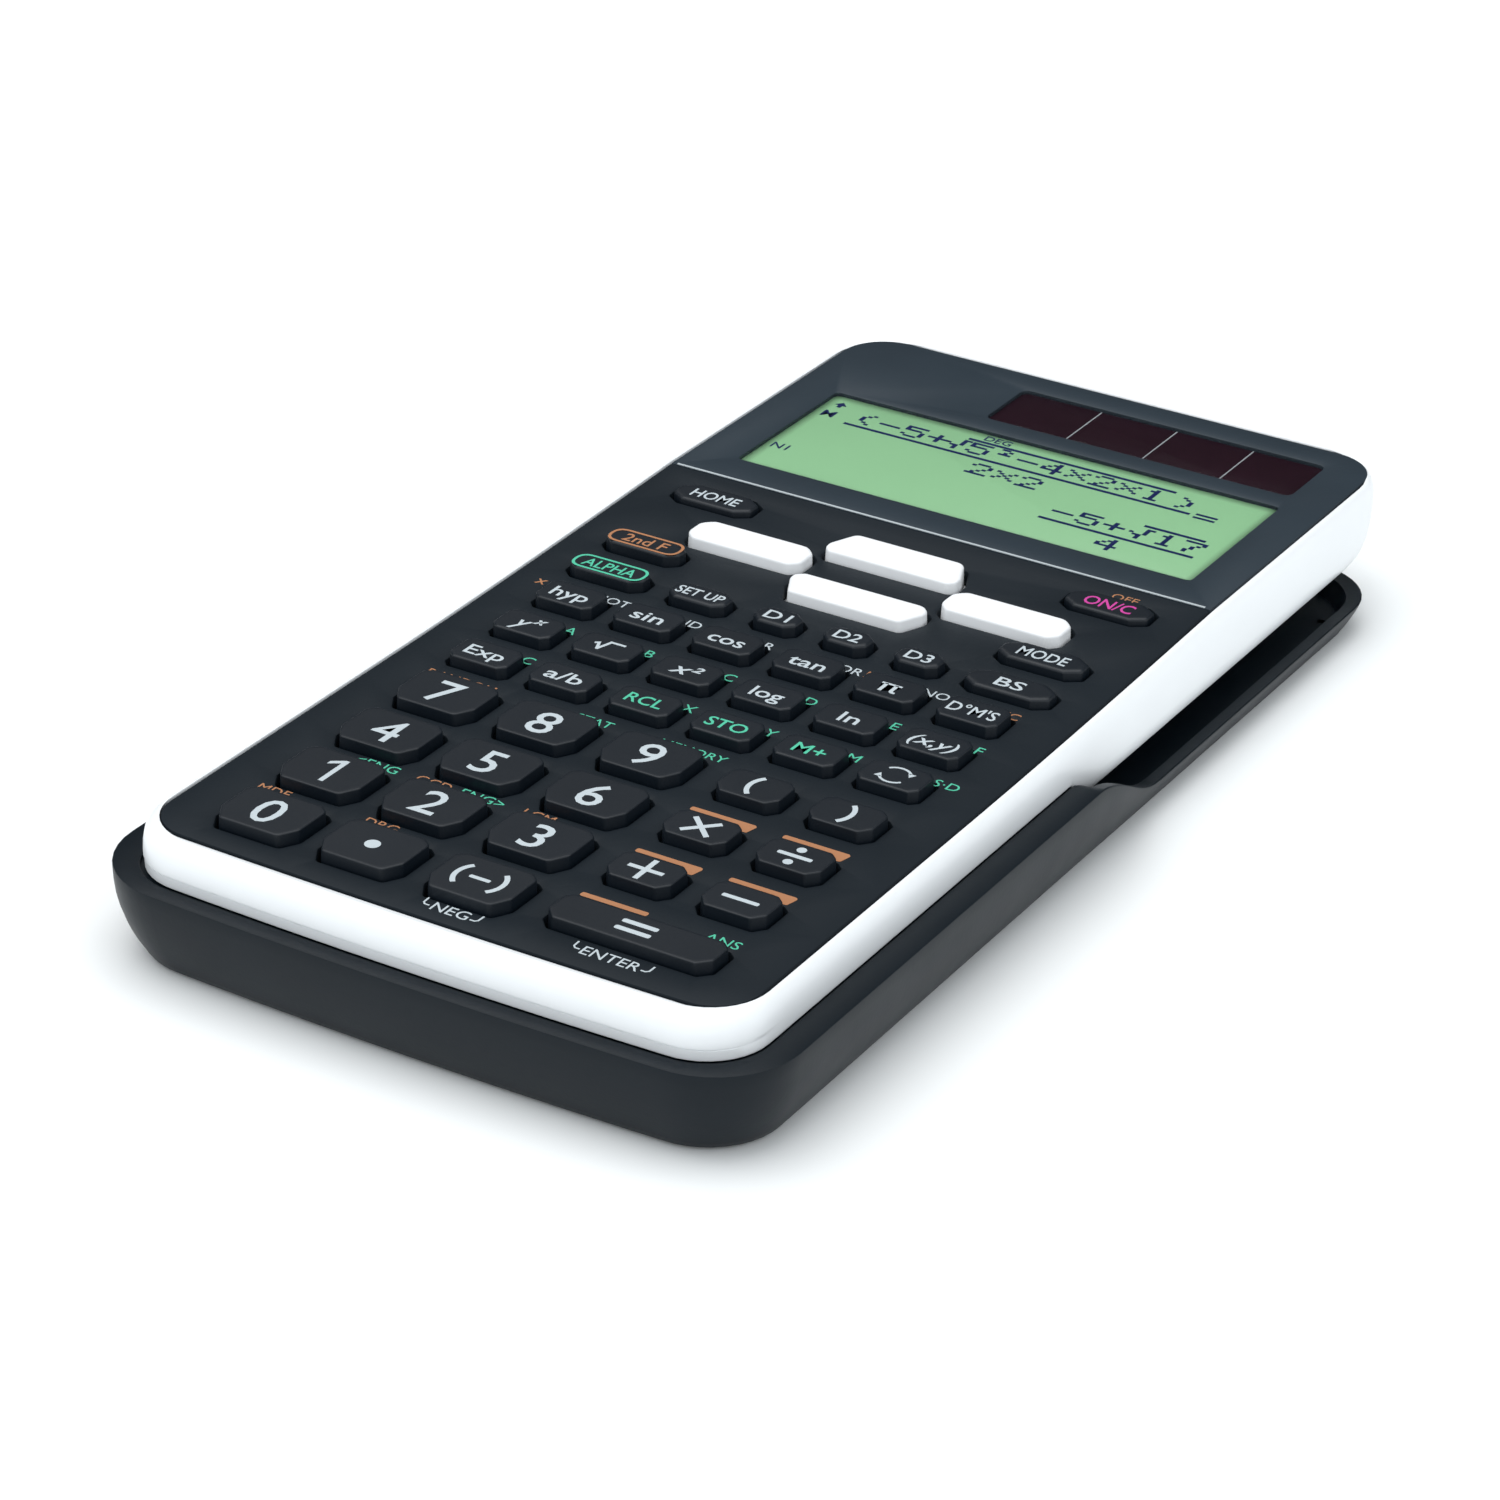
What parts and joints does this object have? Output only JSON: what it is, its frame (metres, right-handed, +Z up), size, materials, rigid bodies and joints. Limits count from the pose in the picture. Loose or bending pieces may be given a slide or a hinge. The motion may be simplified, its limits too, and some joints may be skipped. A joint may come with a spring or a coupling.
{
  "type": "scientific calculator",
  "caption": "Pocket scientific calculator with a raised display end, sprung keys and a slide-on hard cover stored under it.",
  "frame": {"origin": "middle of the footprint, on the surface that the hard cover's underside stands on", "axes": "+X to the user's right, +Y away from the user towards the display, +Z up through the keys"},
  "size_m": [0.088, 0.1732, 0.019],
  "materials": {
    "cover_plastic": "fine satin texture",
    "white_plastic": "semi-gloss moulded",
    "panel_plastic": "satin painted",
    "display_plastic": "satin printed",
    "key_plastic": "smooth satin",
    "white_key_plastic": "semi-gloss moulded",
    "lcd_glass": "matt polariser, green",
    "solar_glass": "dark maroon under clear film",
    "silicone_rubber": "matt",
    "board_laminate": "solder mask",
    "clear_plastic": "polished",
    "white_print": "screen print",
    "mint_print": "screen print",
    "tan_print": "screen print",
    "magenta_print": "screen print",
    "line_print": "screen print",
    "lcd_ink": "liquid crystal, dark",
    "zinc_steel": "zinc plated"
  },
  "bodies": {
    "calculator": {"rear_case": "white_plastic", "front_case": "panel_plastic", "display_window": "display_plastic", "lcd_module": "lcd_glass", "solar_cell": "solar_glass", "key_mat": "silicone_rubber", "circuit_board": "board_laminate", "battery_cover": "white_plastic"},
    "cover": {"hard_cover": "cover_plastic"},
    "key_0": {"key_0": "key_plastic"},
    "key_1": {"key_1": "key_plastic"},
    "key_2": {"key_2": "key_plastic"},
    "key_3": {"key_3": "key_plastic"},
    "key_4": {"key_4": "key_plastic"},
    "key_5": {"key_5": "key_plastic"},
    "key_6": {"key_6": "key_plastic"},
    "key_7": {"key_7": "key_plastic"},
    "key_8": {"key_8": "key_plastic"},
    "key_9": {"key_9": "key_plastic"},
    "key_alpha": {"key_alpha": "key_plastic"},
    "key_arrow_down": {"key_arrow_down": "white_key_plastic"},
    "key_arrow_left": {"key_arrow_left": "white_key_plastic"},
    "key_arrow_right": {"key_arrow_right": "white_key_plastic"},
    "key_arrow_up": {"key_arrow_up": "white_key_plastic"},
    "key_backspace": {"key_backspace": "key_plastic"},
    "key_change": {"key_change": "key_plastic"},
    "key_close_bracket": {"key_close_bracket": "key_plastic"},
    "key_coordinates": {"key_coordinates": "key_plastic"},
    "key_cos": {"key_cos": "key_plastic"},
    "key_d1": {"key_d1": "key_plastic"},
    "key_d2": {"key_d2": "key_plastic"},
    "key_d3": {"key_d3": "key_plastic"},
    "key_decimal_point": {"key_decimal_point": "key_plastic"},
    "key_degrees": {"key_degrees": "key_plastic"},
    "key_divide": {"key_divide": "key_plastic"},
    "key_equals": {"key_equals": "key_plastic"},
    "key_exponent": {"key_exponent": "key_plastic"},
    "key_fraction": {"key_fraction": "key_plastic"},
    "key_home": {"key_home": "key_plastic"},
    "key_hyp": {"key_hyp": "key_plastic"},
    "key_ln": {"key_ln": "key_plastic"},
    "key_log": {"key_log": "key_plastic"},
    "key_memory_plus": {"key_memory_plus": "key_plastic"},
    "key_minus": {"key_minus": "key_plastic"},
    "key_mode": {"key_mode": "key_plastic"},
    "key_negative": {"key_negative": "key_plastic"},
    "key_on_clear": {"key_on_clear": "key_plastic"},
    "key_open_bracket": {"key_open_bracket": "key_plastic"},
    "key_pi": {"key_pi": "key_plastic"},
    "key_plus": {"key_plus": "key_plastic"},
    "key_power": {"key_power": "key_plastic"},
    "key_recall": {"key_recall": "key_plastic"},
    "key_root": {"key_root": "key_plastic"},
    "key_second_function": {"key_second_function": "key_plastic"},
    "key_setup": {"key_setup": "key_plastic"},
    "key_sin": {"key_sin": "key_plastic"},
    "key_square": {"key_square": "key_plastic"},
    "key_store": {"key_store": "key_plastic"},
    "key_tan": {"key_tan": "key_plastic"},
    "key_times": {"key_times": "key_plastic"}
  },
  "joints": [
    {"name": "cover_slide", "type": "slide", "parent": "calculator", "child": "cover", "axis": [0, -1, 0], "range_m": [0, 0.168]},
    {"name": "press_0", "type": "slide", "parent": "calculator", "child": "key_0", "axis": [0, 0, -1], "range_m": [0, 0.001], "stiffness_N_per_m": 300},
    {"name": "press_1", "type": "slide", "parent": "calculator", "child": "key_1", "axis": [0, 0, -1], "range_m": [0, 0.001], "stiffness_N_per_m": 300},
    {"name": "press_2", "type": "slide", "parent": "calculator", "child": "key_2", "axis": [0, 0, -1], "range_m": [0, 0.001], "stiffness_N_per_m": 300},
    {"name": "press_3", "type": "slide", "parent": "calculator", "child": "key_3", "axis": [0, 0, -1], "range_m": [0, 0.001], "stiffness_N_per_m": 300},
    {"name": "press_4", "type": "slide", "parent": "calculator", "child": "key_4", "axis": [0, 0, -1], "range_m": [0, 0.001], "stiffness_N_per_m": 300},
    {"name": "press_5", "type": "slide", "parent": "calculator", "child": "key_5", "axis": [0, 0, -1], "range_m": [0, 0.001], "stiffness_N_per_m": 300},
    {"name": "press_6", "type": "slide", "parent": "calculator", "child": "key_6", "axis": [0, 0, -1], "range_m": [0, 0.001], "stiffness_N_per_m": 300},
    {"name": "press_7", "type": "slide", "parent": "calculator", "child": "key_7", "axis": [0, 0, -1], "range_m": [0, 0.001], "stiffness_N_per_m": 300},
    {"name": "press_8", "type": "slide", "parent": "calculator", "child": "key_8", "axis": [0, 0, -1], "range_m": [0, 0.001], "stiffness_N_per_m": 300},
    {"name": "press_9", "type": "slide", "parent": "calculator", "child": "key_9", "axis": [0, 0, -1], "range_m": [0, 0.001], "stiffness_N_per_m": 300},
    {"name": "press_alpha", "type": "slide", "parent": "calculator", "child": "key_alpha", "axis": [0, 0, -1], "range_m": [0, 0.001], "stiffness_N_per_m": 300},
    {"name": "press_arrow_down", "type": "slide", "parent": "calculator", "child": "key_arrow_down", "axis": [0, 0, -1], "range_m": [0, 0.001], "stiffness_N_per_m": 300},
    {"name": "press_arrow_left", "type": "slide", "parent": "calculator", "child": "key_arrow_left", "axis": [0, 0, -1], "range_m": [0, 0.001], "stiffness_N_per_m": 300},
    {"name": "press_arrow_right", "type": "slide", "parent": "calculator", "child": "key_arrow_right", "axis": [0, 0, -1], "range_m": [0, 0.001], "stiffness_N_per_m": 300},
    {"name": "press_arrow_up", "type": "slide", "parent": "calculator", "child": "key_arrow_up", "axis": [0, 0, -1], "range_m": [0, 0.001], "stiffness_N_per_m": 300},
    {"name": "press_backspace", "type": "slide", "parent": "calculator", "child": "key_backspace", "axis": [0, 0, -1], "range_m": [0, 0.001], "stiffness_N_per_m": 300},
    {"name": "press_change", "type": "slide", "parent": "calculator", "child": "key_change", "axis": [0, 0, -1], "range_m": [0, 0.001], "stiffness_N_per_m": 300},
    {"name": "press_close_bracket", "type": "slide", "parent": "calculator", "child": "key_close_bracket", "axis": [0, 0, -1], "range_m": [0, 0.001], "stiffness_N_per_m": 300},
    {"name": "press_coordinates", "type": "slide", "parent": "calculator", "child": "key_coordinates", "axis": [0, 0, -1], "range_m": [0, 0.001], "stiffness_N_per_m": 300},
    {"name": "press_cos", "type": "slide", "parent": "calculator", "child": "key_cos", "axis": [0, 0, -1], "range_m": [0, 0.001], "stiffness_N_per_m": 300},
    {"name": "press_d1", "type": "slide", "parent": "calculator", "child": "key_d1", "axis": [0, 0, -1], "range_m": [0, 0.001], "stiffness_N_per_m": 300},
    {"name": "press_d2", "type": "slide", "parent": "calculator", "child": "key_d2", "axis": [0, 0, -1], "range_m": [0, 0.001], "stiffness_N_per_m": 300},
    {"name": "press_d3", "type": "slide", "parent": "calculator", "child": "key_d3", "axis": [0, 0, -1], "range_m": [0, 0.001], "stiffness_N_per_m": 300},
    {"name": "press_decimal_point", "type": "slide", "parent": "calculator", "child": "key_decimal_point", "axis": [0, 0, -1], "range_m": [0, 0.001], "stiffness_N_per_m": 300},
    {"name": "press_degrees", "type": "slide", "parent": "calculator", "child": "key_degrees", "axis": [0, 0, -1], "range_m": [0, 0.001], "stiffness_N_per_m": 300},
    {"name": "press_divide", "type": "slide", "parent": "calculator", "child": "key_divide", "axis": [0, 0, -1], "range_m": [0, 0.001], "stiffness_N_per_m": 300},
    {"name": "press_equals", "type": "slide", "parent": "calculator", "child": "key_equals", "axis": [0, 0, -1], "range_m": [0, 0.001], "stiffness_N_per_m": 300},
    {"name": "press_exponent", "type": "slide", "parent": "calculator", "child": "key_exponent", "axis": [0, 0, -1], "range_m": [0, 0.001], "stiffness_N_per_m": 300},
    {"name": "press_fraction", "type": "slide", "parent": "calculator", "child": "key_fraction", "axis": [0, 0, -1], "range_m": [0, 0.001], "stiffness_N_per_m": 300},
    {"name": "press_home", "type": "slide", "parent": "calculator", "child": "key_home", "axis": [0, 0, -1], "range_m": [0, 0.001], "stiffness_N_per_m": 300},
    {"name": "press_hyp", "type": "slide", "parent": "calculator", "child": "key_hyp", "axis": [0, 0, -1], "range_m": [0, 0.001], "stiffness_N_per_m": 300},
    {"name": "press_ln", "type": "slide", "parent": "calculator", "child": "key_ln", "axis": [0, 0, -1], "range_m": [0, 0.001], "stiffness_N_per_m": 300},
    {"name": "press_log", "type": "slide", "parent": "calculator", "child": "key_log", "axis": [0, 0, -1], "range_m": [0, 0.001], "stiffness_N_per_m": 300},
    {"name": "press_memory_plus", "type": "slide", "parent": "calculator", "child": "key_memory_plus", "axis": [0, 0, -1], "range_m": [0, 0.001], "stiffness_N_per_m": 300},
    {"name": "press_minus", "type": "slide", "parent": "calculator", "child": "key_minus", "axis": [0, 0, -1], "range_m": [0, 0.001], "stiffness_N_per_m": 300},
    {"name": "press_mode", "type": "slide", "parent": "calculator", "child": "key_mode", "axis": [0, 0, -1], "range_m": [0, 0.001], "stiffness_N_per_m": 300},
    {"name": "press_negative", "type": "slide", "parent": "calculator", "child": "key_negative", "axis": [0, 0, -1], "range_m": [0, 0.001], "stiffness_N_per_m": 300},
    {"name": "press_on_clear", "type": "slide", "parent": "calculator", "child": "key_on_clear", "axis": [0, 0, -1], "range_m": [0, 0.001], "stiffness_N_per_m": 300},
    {"name": "press_open_bracket", "type": "slide", "parent": "calculator", "child": "key_open_bracket", "axis": [0, 0, -1], "range_m": [0, 0.001], "stiffness_N_per_m": 300},
    {"name": "press_pi", "type": "slide", "parent": "calculator", "child": "key_pi", "axis": [0, 0, -1], "range_m": [0, 0.001], "stiffness_N_per_m": 300},
    {"name": "press_plus", "type": "slide", "parent": "calculator", "child": "key_plus", "axis": [0, 0, -1], "range_m": [0, 0.001], "stiffness_N_per_m": 300},
    {"name": "press_power", "type": "slide", "parent": "calculator", "child": "key_power", "axis": [0, 0, -1], "range_m": [0, 0.001], "stiffness_N_per_m": 300},
    {"name": "press_recall", "type": "slide", "parent": "calculator", "child": "key_recall", "axis": [0, 0, -1], "range_m": [0, 0.001], "stiffness_N_per_m": 300},
    {"name": "press_root", "type": "slide", "parent": "calculator", "child": "key_root", "axis": [0, 0, -1], "range_m": [0, 0.001], "stiffness_N_per_m": 300},
    {"name": "press_second_function", "type": "slide", "parent": "calculator", "child": "key_second_function", "axis": [0, 0, -1], "range_m": [0, 0.001], "stiffness_N_per_m": 300},
    {"name": "press_setup", "type": "slide", "parent": "calculator", "child": "key_setup", "axis": [0, 0, -1], "range_m": [0, 0.001], "stiffness_N_per_m": 300},
    {"name": "press_sin", "type": "slide", "parent": "calculator", "child": "key_sin", "axis": [0, 0, -1], "range_m": [0, 0.001], "stiffness_N_per_m": 300},
    {"name": "press_square", "type": "slide", "parent": "calculator", "child": "key_square", "axis": [0, 0, -1], "range_m": [0, 0.001], "stiffness_N_per_m": 300},
    {"name": "press_store", "type": "slide", "parent": "calculator", "child": "key_store", "axis": [0, 0, -1], "range_m": [0, 0.001], "stiffness_N_per_m": 300},
    {"name": "press_tan", "type": "slide", "parent": "calculator", "child": "key_tan", "axis": [0, 0, -1], "range_m": [0, 0.001], "stiffness_N_per_m": 300},
    {"name": "press_times", "type": "slide", "parent": "calculator", "child": "key_times", "axis": [0, 0, -1], "range_m": [0, 0.001], "stiffness_N_per_m": 300}
  ]
}
